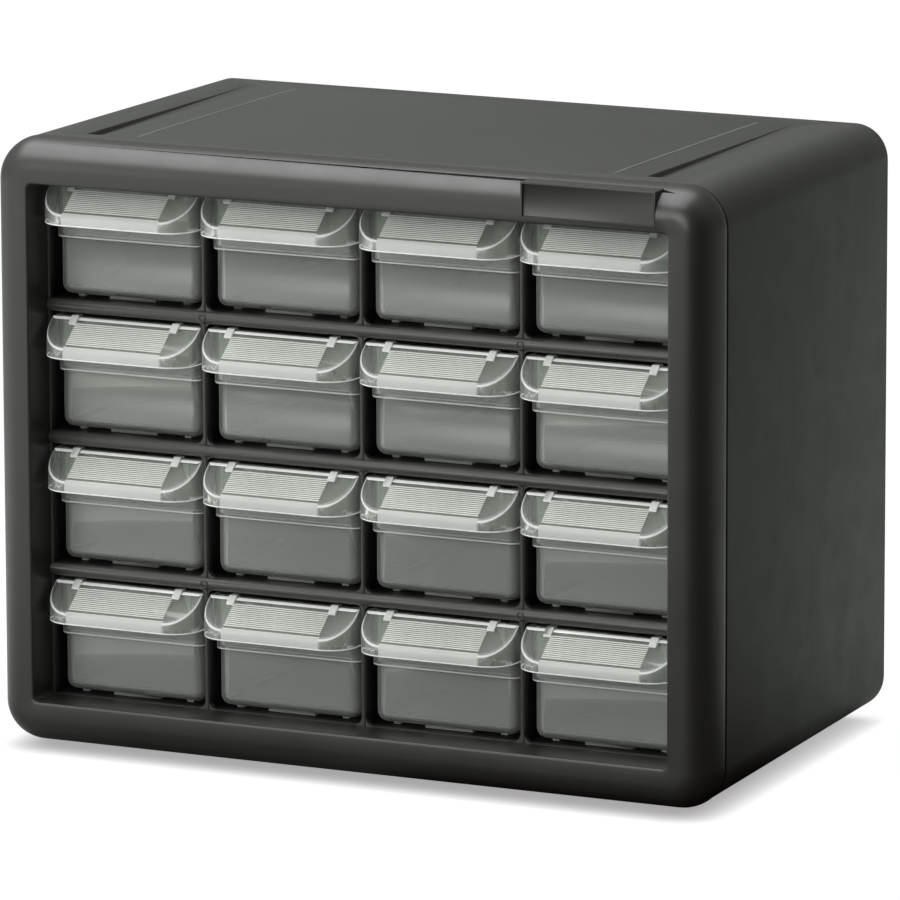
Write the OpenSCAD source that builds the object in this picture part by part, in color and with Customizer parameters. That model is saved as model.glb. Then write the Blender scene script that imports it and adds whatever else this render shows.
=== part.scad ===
// Parts bin cabinet: a moulded shell and front bezel round an interlocking
// grid of shelves and dividers, with sixteen sliding bins.
// Millimetres. +X is right, the front faces -Y and +Z is up. The origin is
// the bottom centre of the whole cabinet.

/* [Cabinet] */
// Width across the bezel
cab_w = 267; // [250:1:320]
// Depth from the bezel's front to the back
cab_d = 162; // [150:1:200]
// Height of the bezel, without the runners under it
cab_h = 210.8; // [200:0.1:260]
// Columns of bins across the cabinet
bin_cols = 4; // [4:1:4]
// Rows of bins up the cabinet
bin_rows = 4; // [4:1:4]

/* [Front bezel] */
// Width of the bezel at each side of the opening
bezel_side = 15.2; // [13:0.1:18]
// Height of the bezel under the opening
bezel_bottom = 15.6; // [13:0.1:18]
// Height of the bezel over the opening
bezel_top = 14.8; // [13:0.1:18]
// Depth of the bezel
bezel_d = 15.1; // [14:0.1:17]
// Wall of the bezel
bezel_wall = 2.0; // [1.6:0.1:2.4]
// Outer corner radius of the bezel
bezel_corner_r = 14.5; // [13:0.1:18]
// Width of the rounded shoulder, from the side to the flat front
shoulder_w = 10.3; // [9:0.1:11]
// Radius of the shoulder where it meets the flat front
shoulder_front_r = 8; // [6:0.1:8.5]
// Corner radius of the opening
opening_corner_r = 2; // [1:0.1:4]

/* [Plain nameplate pad] */
// Length of the pad
plate_w = 48.5; // [30:0.5:60]
// Height of the pad
plate_h = 12; // [8:0.1:13]
// Distance of the pad's outer end from the bezel's side
plate_from_side = 19.6; // [16:0.1:30]
// Width of the rim round the pad's panel
plate_rim = 0.9; // [0.5:0.1:2]
// Depth of the sunk panel
plate_sink = 0.5; // [0.2:0.1:1]

/* [Shell] */
// Wall of the shell
shell_wall = 2.2; // [1.8:0.1:3]
// Width of the dark joint between the bezel and the shell
joint_gap = 1.0; // [0.6:0.1:1.5]
// How far the shell's tongue reaches past its front edge
tongue_reach = 4; // [3:0.1:6]
// Wall of the tongue
tongue_wall = 1.6; // [1.2:0.1:2]
// How far the shell's sides draw in towards the back
shell_draft = 2.4; // [1:0.1:3]
// Corner radius at the back of the shell
shell_back_r = 12; // [10:0.5:14]
// Distance of each stacking groove's middle from the bezel's side
groove_in = 29.5; // [24:0.5:40]
// Width of a stacking groove
groove_w = 6; // [4:0.1:8]
// Depth of a stacking groove at its front
groove_d = 2.2; // [1.5:0.1:3]
// Distance of the grooves' front end from the bezel's front
groove_start = 23; // [20:0.5:40]
// Height of the runners that the cabinet stands on
runner_h = 1.8; // [1:0.1:2]
// Play of a runner in the groove of the cabinet under it
runner_play = 0.3; // [0.2:0.1:0.6]
// Height of the ribs that locate the grid on the back wall
back_rib_h = 4; // [2:0.1:6]

/* [Wall hanging] */
// Radius of the hole for a screw head
key_head_r = 4.5; // [4:0.1:6]
// Width of the slot for a screw shank
key_slot_w = 4.6; // [4:0.1:5.4]
// Rise of the slot over the head hole
key_rise = 9; // [7:0.1:12]
// Distance of the head holes below the bezel's top
key_drop = 28.8; // [24:0.1:60]

/* [Bin grid] */
// Thickness of the upright dividers
divider_t = 1.6; // [1.2:0.1:2.4]
// Thickness of the shelves
shelf_t = 1.8; // [1.4:0.1:2.4]
// Height of the rolled rail along each shelf's front
rail_h = 4.4; // [3.6:0.1:6]
// Thickness of the side guides, the floor and the ceiling
liner_t = 1.8; // [1.4:0.1:2.4]
// Distance of the dividers' front from the bezel's front
divider_back = 14.8; // [14.5:0.1:20]
// How far the rails stand in front of the dividers
rail_proud = 1.4; // [0.5:0.1:2]
// Depth of the housings that the plates' edges sit in
housing_d = 0.8; // [0.5:0.1:1]
// Play between plates that slot together
slot_play = 0.1; // [0.05:0.05:0.2]

/* [Bins] */
// Distance of the lip from the bezel's front
lip_back = 3.2; // [2:0.1:6]
// Room between a bin's back and the cabinet's back wall
bin_back_play = 9; // [6:0.1:20]
// Play at each side of the hood
hood_play = 0.45; // [0.3:0.05:0.8]
// Room between a bin's top and the rail over it
head_play = 1.6; // [1:0.1:5]
// Wall of a bin
bin_wall = 1.2; // [0.9:0.1:1.6]
// How far the rim stands out of the upper band at each side
rim_reach = 1.125; // [0.8:0.025:1.6]
// Step from the upper band in to the lower tub
band_step = 1.05; // [0.6:0.05:1.6]
// Height of the upper band, from the ledge to the rim
band_h = 18.7; // [15:0.1:24]
// Radius of the tub's lower corners
tub_corner_r = 5; // [3:0.1:7]
// Radius of the tub's upright corners
tub_plan_r = 4; // [3:0.1:6]
// Thickness of the rim along the band's top
rim_t = 1.2; // [0.9:0.1:1.6]

/* [Bin hood] */
// How far the lip stands in front of the tub
hood_reach = 15.3; // [12:0.1:17]
// Depth of the level land at the hood's top
land_d = 3.5; // [2:0.1:5]
// Fall of the slope from the land to the lip
slope_fall = 8.9; // [7:0.1:11]
// Height of the lip's upright face
lip_h = 3.4; // [2.6:0.1:5]
// Corner radius of the hood
hood_corner_r = 10; // [7:0.1:12]
// Distance of the label tabs' middles from the hood's sides
tab_in = 9.125; // [7:0.125:13]
// Width of a label tab
tab_w = 2.7; // [2:0.1:4]
// Thickness of a label tab
tab_t = 0.8; // [0.5:0.1:1]
// How far a label tab reaches down the slope
tab_reach = 3.5; // [2:0.1:6]

/* [Bin feet and stop] */
// Height of a bin's runners
foot_h = 0.9; // [0.5:0.1:1.5]
// Play between the runners and the shelf
foot_play = 0.3; // [0.1:0.05:0.5]
// Distance of the side runners' middles from the tub's sides
foot_in = 6.15; // [6:0.05:10]
// Width of a side runner
foot_w = 2.4; // [1.5:0.1:4]
// Width of the pad under the bin's front
pad_w = 17.5; // [8:0.5:24]
// Length of the pad under the bin's front
pad_l = 14; // [6:0.5:30]
// Width of the stop at the back of a bin
stop_w = 14; // [8:0.5:24]
// How far the stop reaches behind the rail over it
stop_catch = 1.6; // [0.8:0.1:1.8]

/* [Hidden] */
$fn = 64;
eps = 0.01;
past = 20;

// Places along the depth
front_y = -cab_d / 2;
back_y = cab_d / 2;
bezel_back_y = front_y + bezel_d;
shell_front_y = bezel_back_y + joint_gap;
back_wall_y = back_y - shell_wall;
divider_front_y = front_y + divider_back;
rail_r = rail_h / 2;
rail_y = divider_front_y - rail_proud + rail_r;
lap_y = (divider_front_y + back_wall_y) / 2;
lip_y = front_y + lip_back;
tub_front_y = lip_y + hood_reach;
bin_back_y = back_wall_y - bin_back_play;

// The opening and the bays in it
base_z = runner_h;
top_z = base_z + cab_h;
groove_x = cab_w / 2 - groove_in;
groove_z = top_z - groove_d;
key_z = top_z - key_drop;
opening_w = cab_w - 2 * bezel_side;
opening_z = base_z + bezel_bottom;
opening_h = cab_h - bezel_bottom - bezel_top;
bay_pitch_x = opening_w / bin_cols;
bay_pitch_z = (opening_h + rail_h) / bin_rows;
bay_w = bay_pitch_x - divider_t;
guide_x = bay_pitch_x * bin_cols / 2 - divider_t / 2;
ceiling_z = opening_z + opening_h + rail_h - shelf_t;

// A bin's widths, and heights over the floor of its tub
hood_w = bay_w - 2 * hood_play;
band_w = hood_w - 2 * rim_reach;
tub_w = band_w - 2 * band_step;
tab_x = hood_w / 2 - tab_in;
foot_x = tub_w / 2 - foot_in;
bin_h = bay_pitch_z - rail_h - foot_play - foot_h - head_play;
ledge_z = bin_h - band_h;
lip_low_z = bin_h - slope_fall - lip_h;
stop_top = bin_h + head_play + stop_catch;

// Steps in the curve of the shoulder
shoulder_steps = 9;

// The shell's tongue goes inside the bezel's wall, clear of its curve
tongue_in = bezel_wall + 0.6;

// The shoulder's side radius that runs into its front radius in one curve
shoulder_side_r = (pow(shoulder_w, 2) + pow(bezel_d - shoulder_front_r, 2)
    - pow(shoulder_front_r, 2)) / (2 * (shoulder_w - shoulder_front_r));
shoulder_turn = atan2(bezel_d - shoulder_front_r, shoulder_side_r - shoulder_w);

// The hood's slope, from the land's front edge down to the lip
land_y = tub_front_y - land_d;
slope_run = land_y - lip_y;
slope_len = sqrt(pow(slope_run, 2) + pow(slope_fall, 2));
slope_dir = [-slope_run, -slope_fall] / slope_len;
slope_out = [-slope_fall, slope_run] / slope_len;
hood_back_y = tub_front_y + 2;

bezel_grey = [0.27, 0.28, 0.27];
grid_grey = [0.20, 0.20, 0.20];
bin_clear = [0.76, 0.79, 0.77, 0.6];

function drawer_name(row, col) = str("drawer_r", row, "c", col);
function bay_x(col) = (col - (bin_cols + 1) / 2) * bay_pitch_x;
function shelf_top_z(row) = opening_z + (bin_rows - row) * bay_pitch_z;
function bin_z(row) = shelf_top_z(row) + foot_play + foot_h;

// A plan or section in X and Z, made solid from y0 to y1
module along_y(y0, y1) {
    translate([0, y1, 0]) rotate([90, 0, 0]) linear_extrude(y1 - y0) children();
}

// A side profile in Y and Z, made solid over a width centred on x
module along_x(x, w) {
    translate([x - w / 2, 0, 0]) rotate([90, 0, 90]) linear_extrude(w) children();
}

// A rectangle with round corners, centred in X, standing on z
module round_rect(w, h, z, r) {
    translate([-w / 2 + r, z]) square([w - 2 * r, h]);
    translate([-w / 2, z + r]) square([w, h - 2 * r]);
    for (x = [-w / 2 + r, w / 2 - r], y = [z + r, z + h - r])
        translate([x, y]) circle(r);
}

// A point on the bezel's shoulder at an angle from the side to the front:
// how far it lies in from the side, and how far forward of the joint. Two
// arcs that share a tangent make the curve.
function shoulder_point(turn, inset) = turn < shoulder_turn
    ? [shoulder_side_r - (shoulder_side_r - inset) * cos(turn),
        (shoulder_side_r - inset) * sin(turn)]
    : [shoulder_w - (shoulder_front_r - inset) * cos(turn),
        bezel_d - shoulder_front_r + (shoulder_front_r - inset) * sin(turn)];

// The bezel as a solid pillow, drawn in by the inset
module bezel_form(inset, tail) {
    hull() for (step = [0 : shoulder_steps]) {
        point = shoulder_point(90 * step / shoulder_steps, inset);
        along_y(bezel_back_y - point[1] - eps, bezel_back_y + tail)
            round_rect(cab_w - 2 * point[0], cab_h - 2 * point[0],
                base_z + point[0], bezel_corner_r - point[0], $fn = 48);
    }
}

// The opening, grown all round
module opening_shape(grow) {
    round_rect(opening_w + 2 * grow, opening_h + 2 * grow, opening_z - grow,
        opening_corner_r + grow);
}

// The box that the grid's plates make, grown all round
module grid_shape(grow) {
    translate([-guide_x - liner_t - grow, opening_z - liner_t - grow])
        square([
            2 * (guide_x + liner_t + grow),
            ceiling_z + liner_t - opening_z + liner_t + 2 * grow
        ]);
}

// The place of the plain pad over the opening's right end
module plate_shape(inset) {
    translate([cab_w / 2 - plate_from_side - plate_w + inset,
        top_z - 1 - plate_h + inset])
        square([plate_w - 2 * inset, plate_h - 2 * inset]);
}

module front_bezel() {
    seat_y = divider_front_y - slot_play;
    color(bezel_grey) difference() {
        union() {
            difference() {
                bezel_form(0, 0);
                difference() {
                    bezel_form(bezel_wall, bezel_wall);
                    along_y(front_y - eps, bezel_back_y + 2 * bezel_wall)
                        opening_shape(bezel_wall);
                }
            }
            // The pad stands out of the shoulder, level with the flat front
            along_y(front_y, front_y + bezel_d / 2) plate_shape(0);
            // The socket that the grid's front edges sit in
            along_y(seat_y - bezel_wall, seat_y + back_rib_h)
                grid_shape(slot_play + bezel_wall);
        }
        along_y(front_y - eps, front_y + plate_sink) plate_shape(plate_rim);
        along_y(seat_y, seat_y + past) grid_shape(slot_play);
        along_y(front_y - past, back_y) opening_shape(0);
    }
}

// Outline of the shell, drawn in by the inset, at the front or the back
module shell_outline(inset, draft, r) {
    round_rect(cab_w - 2 * (inset + draft), cab_h - 2 * (inset + draft),
        base_z + inset + draft, r - inset);
}

// The drafted form of the shell from one end to the other
module shell_form(inset, y0, y1) {
    skin = 0.2;
    hull() {
        along_y(y0, y0 + eps) shell_outline(inset, skin, bezel_corner_r - skin);
        along_y(y1 - eps, y1) shell_outline(inset, shell_draft, shell_back_r);
    }
}

// A hole for a screw head with a slot over it for the shank
module keyhole() {
    along_y(back_wall_y - past / 4, back_y + eps) {
        circle(key_head_r);
        translate([0, key_rise]) circle(key_slot_w / 2);
        translate([-key_slot_w / 2, 0]) square([key_slot_w, key_rise]);
    }
}

module outer_shell() {
    groove_y = front_y + groove_start;
    pan = shell_wall;
    runner_w = groove_w - 2 * runner_play;
    color(bezel_grey) difference() {
        union() {
            difference() {
                shell_form(0, shell_front_y, back_y);
                shell_form(shell_wall, shell_front_y - eps, back_wall_y);
            }
            // Tongue that goes into the back of the bezel
            along_y(shell_front_y - tongue_reach, shell_front_y + tongue_reach)
                difference() {
                    shell_outline(tongue_in, 0, bezel_corner_r);
                    shell_outline(tongue_in + tongue_wall, 0, bezel_corner_r);
                }
            // Root of the tongue on the shell's wall
            along_y(shell_front_y, shell_front_y + tongue_reach)
                difference() {
                    shell_outline(shell_wall / 2, 0, bezel_corner_r);
                    shell_outline(tongue_in + tongue_wall, 0, bezel_corner_r);
                }
            for (side = [-1, 1]) {
                // Pan under each stacking groove
                translate([side * groove_x - groove_w / 2 - pan,
                    groove_y - pan, groove_z - pan])
                    cube([groove_w + 2 * pan, back_wall_y + eps - groove_y + pan,
                        pan + shell_wall / 2]);
                // Runner that the cabinet stands on
                translate([side * groove_x - runner_w / 2,
                    groove_y + runner_play, 0])
                    cube([runner_w, back_wall_y - groove_y - runner_play,
                        base_z + shell_draft + shell_wall / 2]);
            }
            // Socket that the grid's back edges sit in
            along_y(back_wall_y - back_rib_h, back_wall_y + eps) difference() {
                grid_shape(slot_play + tongue_wall);
                grid_shape(slot_play);
            }
        }
        for (side = [-1, 1]) {
            translate([side * groove_x - groove_w / 2, groove_y, groove_z])
                cube([groove_w, cab_d, past]);
            translate([side * bay_x(bin_cols), 0, key_z]) keyhole();
        }
    }
}

module side_guide(side) {
    height = ceiling_z + liner_t - opening_z + liner_t;
    depth = back_wall_y - divider_front_y;
    color(grid_grey) difference() {
        translate([side * (guide_x + liner_t / 2) - liner_t / 2,
            divider_front_y, opening_z - liner_t])
            cube([liner_t, depth, height]);
        // Housings for the ends of the shelves
        for (row = [1 : bin_rows - 1])
            translate([side * guide_x - housing_d, divider_front_y - eps,
                shelf_top_z(row) - shelf_t - slot_play])
                cube([2 * housing_d, depth + 2 * eps, shelf_t + 2 * slot_play]);
        // Room for the ends of the rails
        for (row = [1 : bin_rows - 1])
            rail(row, side * (guide_x - housing_d), side * (guide_x + housing_d),
                rail_r + slot_play);
    }
}

module liner_plate(z, cut_z) {
    depth = back_wall_y - divider_front_y;
    color(grid_grey) difference() {
        translate([-guide_x, divider_front_y, z])
            cube([2 * guide_x, depth, liner_t]);
        // Housings for the ends of the dividers
        for (gap = [1 : bin_cols - 1])
            translate([bay_x(gap) + bay_pitch_x / 2 - divider_t / 2 - slot_play,
                divider_front_y - eps, cut_z - housing_d])
                cube([divider_t + 2 * slot_play, depth + 2 * eps, 2 * housing_d]);
    }
}

module bay_floor() { liner_plate(opening_z - liner_t, opening_z); }

module bay_ceiling() { liner_plate(ceiling_z, ceiling_z); }

// The round rail along the front of a shelf, from x0 to x1
module rail(row, x0, x1, r) {
    translate([min(x0, x1), rail_y, shelf_top_z(row) - rail_r])
        rotate([0, 90, 0]) cylinder(r = r, h = abs(x1 - x0));
}

module shelf(row) {
    half_l = guide_x + housing_d - slot_play;
    color(grid_grey) difference() {
        union() {
            translate([-half_l, rail_y, shelf_top_z(row) - shelf_t])
                cube([2 * half_l, back_wall_y - rail_y, shelf_t]);
            rail(row, -half_l, half_l, rail_r);
        }
        // Half laps for the dividers, open at the back
        for (gap = [1 : bin_cols - 1])
            translate([bay_x(gap) + bay_pitch_x / 2 - divider_t / 2 - slot_play,
                lap_y, shelf_top_z(row) - 2 * rail_h])
                cube([divider_t + 2 * slot_play, cab_d, 3 * rail_h]);
    }
}

module divider(gap) {
    x = bay_x(gap) + bay_pitch_x / 2;
    low = opening_z - housing_d + slot_play;
    high = ceiling_z + housing_d - slot_play;
    nose_r = divider_t / 2;
    color(grid_grey) difference() {
        union() {
            translate([x - nose_r, divider_front_y + nose_r, low])
                cube([divider_t, back_wall_y - divider_front_y - nose_r, high - low]);
            translate([x, divider_front_y + nose_r, low])
                cylinder(r = nose_r, h = high - low);
        }
        for (row = [1 : bin_rows - 1]) {
            // Half lap for a shelf, open at the front
            translate([x - divider_t, divider_front_y - past,
                shelf_top_z(row) - shelf_t - slot_play])
                cube([2 * divider_t, lap_y + slot_play - divider_front_y + past,
                    shelf_t + 2 * slot_play]);
            rail(row, x - divider_t, x + divider_t, rail_r + slot_play);
        }
    }
}

// Outer form of a bin's tub and band, drawn in by the inset
module tub_form(inset) {
    front = tub_front_y + inset;
    back = bin_back_y - inset;
    intersection() {
        along_y(front, back)
            round_rect(tub_w - 2 * inset, bin_h + past, inset, tub_corner_r - inset);
        linear_extrude(ledge_z + inset + band_step)
            round_rect(tub_w - 2 * inset, back - front, front, tub_plan_r - inset);
    }
    intersection() {
        along_y(front - band_step, back)
            round_rect(band_w - 2 * inset, bin_h, ledge_z + inset, band_step + eps);
        translate([0, 0, ledge_z + inset])
            linear_extrude(bin_h - ledge_z - inset + (inset > 0 ? past : 0))
            round_rect(band_w - 2 * inset, back - front + band_step,
                front - band_step, tub_plan_r + band_step - inset);
    }
}

// The hood's outline from above, with the front corners rounded
module hood_plan(inset) {
    half = hood_w / 2 - inset;
    r = hood_corner_r - inset;
    y = lip_y + inset;
    translate([-half, y + r]) square([2 * half, hood_back_y - y - r]);
    translate([-half + r, y]) square([2 * (half - r), hood_back_y - y]);
    for (x = [-half + r, half - r]) translate([x, y + r]) circle(r);
}

// Point on the hood's slope, so far down it and so far out of it
function on_slope(down, out) = [land_y, bin_h] + down * slope_dir + out * slope_out;

// The hood's side profile, under the land and the slope
module hood_side(inset) {
    top = bin_h - inset;
    edge = on_slope(0, -inset);
    run = slope_dir[0] / slope_dir[1];
    y = lip_y + inset;
    polygon([
        [hood_back_y, lip_low_z - inset],
        [y, lip_low_z - inset],
        [y, edge[1] + (y - edge[0]) / run],
        [edge[0] + (top - edge[1]) * run, top],
        [hood_back_y, top]
    ]);
}

module hood_form(inset) {
    intersection() {
        linear_extrude(2 * bin_h) hood_plan(inset);
        along_x(0, hood_w) hood_side(inset);
    }
}

// A tab over the land and the top of the slope, which keeps a label in
module label_tab(x) {
    bend = tab_t * tan(atan2(slope_fall, slope_run) / 2);
    along_x(x, tab_w) polygon([
        [tub_front_y + bin_wall, bin_h - eps],
        [tub_front_y + bin_wall, bin_h + tab_t],
        [land_y - bend, bin_h + tab_t],
        on_slope(tab_reach, tab_t),
        on_slope(tab_reach, -bin_wall / 2),
        [land_y, bin_h - bin_wall / 2]
    ]);
}

module drawer(row, col) {
    color(bin_clear) translate([bay_x(col), 0, bin_z(row)]) {
        difference() {
            union() {
                tub_form(0);
                difference() {
                    hood_form(0);
                    hood_form(bin_wall);
                }
                // Rim along the top of the band
                translate([-hood_w / 2, hood_back_y, bin_h - rim_t])
                    cube([hood_w, bin_back_y - hood_back_y, rim_t]);
                // Stop on the back wall, which catches behind the rail above
                translate([-stop_w / 2, bin_back_y - bin_wall, ledge_z])
                    cube([stop_w, bin_wall, stop_top - ledge_z]);
                // Runners that slide on the shelf
                for (x = [-foot_x, foot_x])
                    translate([x - foot_w / 2, tub_front_y + tub_plan_r, -foot_h])
                        cube([foot_w, bin_back_y - tub_plan_r - tub_front_y
                            - tub_plan_r, foot_h + bin_wall / 2]);
                translate([-pad_w / 2, tub_front_y + 1, -foot_h])
                    cube([pad_w, pad_l, foot_h + bin_wall / 2]);
            }
            tub_form(bin_wall);
        }
        for (x = [-tab_x, tab_x]) label_tab(x);
    }
}

outer_shell();
front_bezel();
side_guide(-1);  // side_guide_left
side_guide(1);  // side_guide_right
bay_floor();
bay_ceiling();
shelf(1);  // shelf_1
shelf(2);  // shelf_2
shelf(3);  // shelf_3
divider(1);  // divider_left
divider(2);  // divider_centre
divider(3);  // divider_right
for (row = [1 : bin_rows], col = [1 : bin_cols])
    drawer(row, col);
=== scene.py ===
"""Looks of the parts bin cabinet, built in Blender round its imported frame."""

import math

import bpy
from mathutils import Matrix, Vector


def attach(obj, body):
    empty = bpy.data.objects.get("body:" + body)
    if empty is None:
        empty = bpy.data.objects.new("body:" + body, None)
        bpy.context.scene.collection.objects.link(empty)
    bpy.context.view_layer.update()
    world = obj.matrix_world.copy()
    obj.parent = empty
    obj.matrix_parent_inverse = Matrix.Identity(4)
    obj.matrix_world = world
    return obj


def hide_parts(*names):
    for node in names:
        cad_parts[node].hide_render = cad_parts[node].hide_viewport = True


MM = 0.001

# The cabinet, in millimetres: +X right, the front faces -Y, +Z up
CABINET_W = 267.0
CABINET_H = 210.8
BASE_Z = 1.8
TOP_Z = BASE_Z + CABINET_H
MIDDLE_Z = BASE_Z + CABINET_H / 2
FRONT_Y = -81.0
BACK_Y = 81.0
BEZEL_D = 14.2
JOINT_Y = FRONT_Y + BEZEL_D
JOINT_GAP = 1.9
SHELL_FRONT_Y = JOINT_Y + JOINT_GAP
SHELL_WALL = 2.2
SHELL_STEP = 0.2
SHELL_DRAFT = 2.2
BACK_WALL_Y = BACK_Y - SHELL_WALL
CORNER_R = 14.5

# The opening in the bezel, and the frame's width on its sides
FRAME_SIDE_W = 15.2
FRAME_LOW_H = 15.6
FRAME_HIGH_H = 14.8
OPENING_W = CABINET_W - 2 * FRAME_SIDE_W
OPENING_LOW = BASE_Z + FRAME_LOW_H
OPENING_HIGH = TOP_Z - FRAME_HIGH_H
OPENING_MIDDLE_Z = (OPENING_LOW + OPENING_HIGH) / 2
OPENING_H = OPENING_HIGH - OPENING_LOW
OPENING_CORNER_R = 2.0
BEZEL_WALL = 2.0

# The pad for a nameplate, and the rim round its sunk panel
PAD_RIGHT = CABINET_W / 2 - 19.6
PAD_LEFT = CABINET_W / 2 - 19.6 - 48.5
PAD_LOW = TOP_Z - 1 - 12
PAD_HIGH = TOP_Z - 1
PAD_RIM = 0.6
PANEL_SINK = 1.3

# The bin grid
COLUMNS = 4
ROWS = 4
RAIL_H = 4.4
SHELF_T = 1.8
DIVIDER_T = 1.6
LINER_T = 1.8
PITCH_X = OPENING_W / COLUMNS
PITCH_Z = (OPENING_H + RAIL_H) / ROWS
DIVIDER_FRONT_Y = FRONT_Y + 14.8
RAIL_Y = DIVIDER_FRONT_Y - 1.4 + RAIL_H / 2
LAP_Y = (DIVIDER_FRONT_Y + BACK_WALL_Y) / 2
HOUSING_D = 0.8
GUIDE_X = PITCH_X * COLUMNS / 2 - DIVIDER_T / 2
CEILING_Z = OPENING_HIGH + RAIL_H - SHELF_T

# The stacking grooves and runners, and the keyholes in the back
GROOVE_X = 104.0
GROOVE_W = 6.0
GROOVE_D = 2.2
GROOVE_FRONT_Y = FRONT_Y + 23
RUNNER_HALF_W = 2.7
KEYHOLE_X = 1.5 * PITCH_X
KEYHOLE_Z = BASE_Z + 182
KEYHOLE_R = 4.5
KEY_SLOT_Z = BASE_Z + 191
KEY_SLOT_R = 2.3

# A bin, measured up from the floor of its tub
LIP_Y = FRONT_Y + 3.2
TUB_FRONT_Y = LIP_Y + 14.2
BIN_BACK_Y = LIP_Y + 147.6
BIN_H = 39.0
BIN_WALL = 1.2
TUB_W = 53.4
BAND_W = 55.0
LEDGE_Z = 19.5
HOOD_W = PITCH_X - DIVIDER_T - 2 * 0.45
LAND_Y = LIP_Y + 11.8
LIP_TOP_Z = 30.1
LIP_LOW_Z = 26.3
HOOD_CORNER_R = 10.0
FOOT_H = 0.9
FOOT_PLAY = 0.3

# The steps of a tub's ledge, each outwards and up, and how high they reach; the upright last step
# gets a pale painted highlight
LEDGE_STEPS = ((0.45, 0.10), (0.35, 0.16), (0.25, 0.34), (0, 0.45))
LEDGE_H = 1.05

# The hood's slope, from its upper edge down to the lip, and the strip under the lip that gets a
# painted highlight
SLOPE_START = Vector((0, LAND_Y, BIN_H))
SLOPE_DOWN = Vector((0, LIP_Y - LAND_Y, LIP_TOP_Z - BIN_H)).normalized()
SLOPE_OUT = Vector((0, SLOPE_DOWN.z, -SLOPE_DOWN.y))
SKIRT_LINE = 0.5

# The finishes of a bin, in the order in which its materials stand
(WALL_FINISH, FRONT_FINISH, HOOD_FINISH, SLOPE_FINISH, LIP_FINISH, RIB_FINISH, LEDGE_FINISH,
 EDGE_FINISH) = range(8)


def column_x(column):
    return (column - (COLUMNS + 1) / 2) * PITCH_X


def shelf_top(row):
    return OPENING_LOW + (ROWS - row) * PITCH_Z


# ---------------------------------------------------------------- hand tools


def take(piece):
    """Makes one piece the selected and active one."""
    if bpy.context.mode != "OBJECT":
        bpy.ops.object.mode_set(mode="OBJECT")
    bpy.ops.object.select_all(action="DESELECT")
    piece.select_set(True)
    bpy.context.view_layer.objects.active = piece


def settle(piece, name):
    """Names a new piece and puts its place and size into its mesh."""
    take(piece)
    piece.name = name
    piece.data.name = name
    bpy.ops.object.transform_apply(location=True, rotation=True, scale=True)
    return piece


def block(name, low, high):
    """A block between two corners."""
    low, high = Vector(low) * MM, Vector(high) * MM
    bpy.ops.object.select_all(action="DESELECT")
    bpy.ops.mesh.primitive_cube_add(size=1, location=(low + high) / 2)
    piece = bpy.context.object
    piece.scale = high - low
    return settle(piece, name)


def rod(name, start, end, radius, sides=32):
    """A round rod along X or Y, between two points."""
    start, end = Vector(start) * MM, Vector(end) * MM
    turn = (0, math.pi / 2, 0) if abs(end.x - start.x) > 0 else (math.pi / 2, 0, 0)
    bpy.ops.object.select_all(action="DESELECT")
    bpy.ops.mesh.primitive_cylinder_add(
        vertices=sides, radius=radius * MM, depth=(end - start).length,
        location=(start + end) / 2, rotation=turn)
    return settle(bpy.context.object, name)


def rounded_face(name, width, height, y, z, corner_r, faces_back=False, steps=14):
    """An upright face with round corners, centred in X."""
    turn = -math.pi / 2 if faces_back else math.pi / 2
    bpy.ops.object.select_all(action="DESELECT")
    bpy.ops.mesh.primitive_plane_add(size=1, location=(0, y * MM, z * MM), rotation=(turn, 0, 0))
    piece = bpy.context.object
    piece.scale = (width * MM, height * MM, 1)
    settle(piece, name)
    bpy.ops.object.mode_set(mode="EDIT")
    bpy.ops.mesh.select_all(action="SELECT")
    bpy.ops.mesh.bevel(offset=corner_r * MM, segments=steps, affect="VERTICES")
    bpy.ops.object.mode_set(mode="OBJECT")
    return piece


def open_for_edit(piece, kind, chosen):
    """Opens a piece for editing with only the chosen parts selected."""
    mesh = piece.data
    for parts in (mesh.vertices, mesh.edges, mesh.polygons):
        parts.foreach_set("select", [False] * len(parts))
    parts = {"VERT": mesh.vertices, "EDGE": mesh.edges, "FACE": mesh.polygons}[kind]
    for part in parts:
        part.select = chosen(part)
    bpy.context.tool_settings.mesh_select_mode = (kind == "VERT", kind == "EDGE", kind == "FACE")
    bpy.ops.object.mode_set(mode="EDIT")


def pick_faces(piece, test):
    """Selects the faces whose middle, in millimetres, and normal pass a test."""
    take(piece)
    open_for_edit(piece, "FACE", lambda face: test(face.center / MM, face.normal))


def pick_edges(piece, test):
    """Selects the edges whose two ends, in millimetres, pass a test."""
    take(piece)
    points = [v.co / MM for v in piece.data.vertices]
    open_for_edit(piece, "EDGE", lambda edge: test(*(points[i] for i in edge.vertices)))


def near(a, b, slack=0.02):
    return abs(a - b) < slack


def close_edit():
    bpy.ops.object.mode_set(mode="OBJECT")


def bevel_picked(width, steps, profile=0.5):
    bpy.ops.mesh.bevel(offset=width * MM, segments=steps, affect="EDGES", profile=profile)
    close_edit()


def face_outwards(piece):
    """Merges doubled points and turns every face outwards."""
    take(piece)
    bpy.ops.object.mode_set(mode="EDIT")
    bpy.ops.mesh.select_all(action="SELECT")
    bpy.ops.mesh.remove_doubles(threshold=0.01 * MM)
    bpy.ops.mesh.normals_make_consistent(inside=False)
    close_edit()


def thicken(piece, wall):
    """Gives a sheet its wall, on the inner side."""
    take(piece)
    made = piece.modifiers.new("wall", "SOLIDIFY")
    made.thickness = wall * MM
    made.offset = -1
    made.use_even_offset = True
    bpy.ops.object.modifier_apply(modifier=made.name)


def combine(piece, other, how, folded=False):
    """Fuses another solid to a piece, or cuts it away, and uses it up. A folded
    piece is one whose wall is thicker than its small outer curves."""
    take(piece)
    made = piece.modifiers.new("combine", "BOOLEAN")
    made.operation = how
    made.solver = "EXACT"
    made.use_self = folded
    made.object = other
    bpy.ops.object.modifier_apply(modifier=made.name)
    bpy.data.objects.remove(other, do_unlink=True)


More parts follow.
